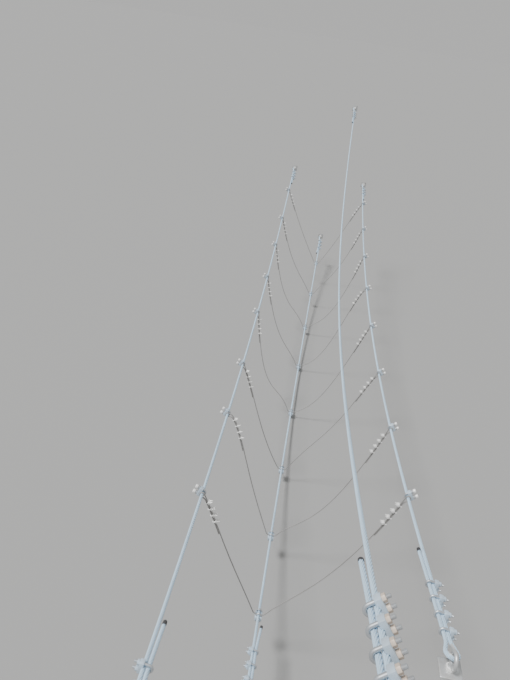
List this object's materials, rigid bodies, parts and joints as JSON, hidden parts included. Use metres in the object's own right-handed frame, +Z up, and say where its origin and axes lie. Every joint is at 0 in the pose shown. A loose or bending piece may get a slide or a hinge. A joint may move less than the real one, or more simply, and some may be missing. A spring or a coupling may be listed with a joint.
{
  "type": "wire rope suspension footbridge",
  "caption": "Via ferrata footbridge of wire rope: a foot cable, two hand cables tied to it by slack V-shaped suspender ropes, and a safety cable above, each eyed to ring anchors.",
  "frame": {"origin": "middle of the rock face of the near foot anchor's plate", "axes": "+Y along the bridge from the near end to the far end, +Z up, +X to the right"},
  "size_m": [1.4854, 10.368, 2.9699],
  "materials": {
    "galvanised_rope": "weathered galvanised wire rope",
    "zinc_steel": "zinc plated, slightly dulled",
    "dull_rope": "dull weathered wire rope"
  },
  "bodies": {
    "root": {"foot_cable": "galvanised_rope", "left_hand_cable": "galvanised_rope", "right_hand_cable": "galvanised_rope", "safety_cable": "galvanised_rope", "near_foot_anchor": "zinc_steel", "far_foot_anchor": "zinc_steel", "near_left_anchor": "zinc_steel", "far_left_anchor": "zinc_steel", "near_right_anchor": "zinc_steel", "far_right_anchor": "zinc_steel", "near_safety_anchor": "zinc_steel", "far_safety_anchor": "zinc_steel", "foot_clamp_1": "zinc_steel", "left_clamp_1": "zinc_steel", "right_clamp_1": "zinc_steel", "suspender_1": "dull_rope", "foot_clamp_2": "zinc_steel", "left_clamp_2": "zinc_steel", "right_clamp_2": "zinc_steel", "suspender_2": "dull_rope", "foot_clamp_3": "zinc_steel", "left_clamp_3": "zinc_steel", "right_clamp_3": "zinc_steel", "suspender_3": "dull_rope", "foot_clamp_4": "zinc_steel", "left_clamp_4": "zinc_steel", "right_clamp_4": "zinc_steel", "suspender_4": "dull_rope", "foot_clamp_5": "zinc_steel", "left_clamp_5": "zinc_steel", "right_clamp_5": "zinc_steel", "suspender_5": "dull_rope", "foot_clamp_6": "zinc_steel", "left_clamp_6": "zinc_steel", "right_clamp_6": "zinc_steel", "suspender_6": "dull_rope", "foot_clamp_7": "zinc_steel", "left_clamp_7": "zinc_steel", "right_clamp_7": "zinc_steel", "suspender_7": "dull_rope", "foot_clamp_8": "zinc_steel", "left_clamp_8": "zinc_steel", "right_clamp_8": "zinc_steel", "suspender_8": "dull_rope"}
  },
  "joints": []
}
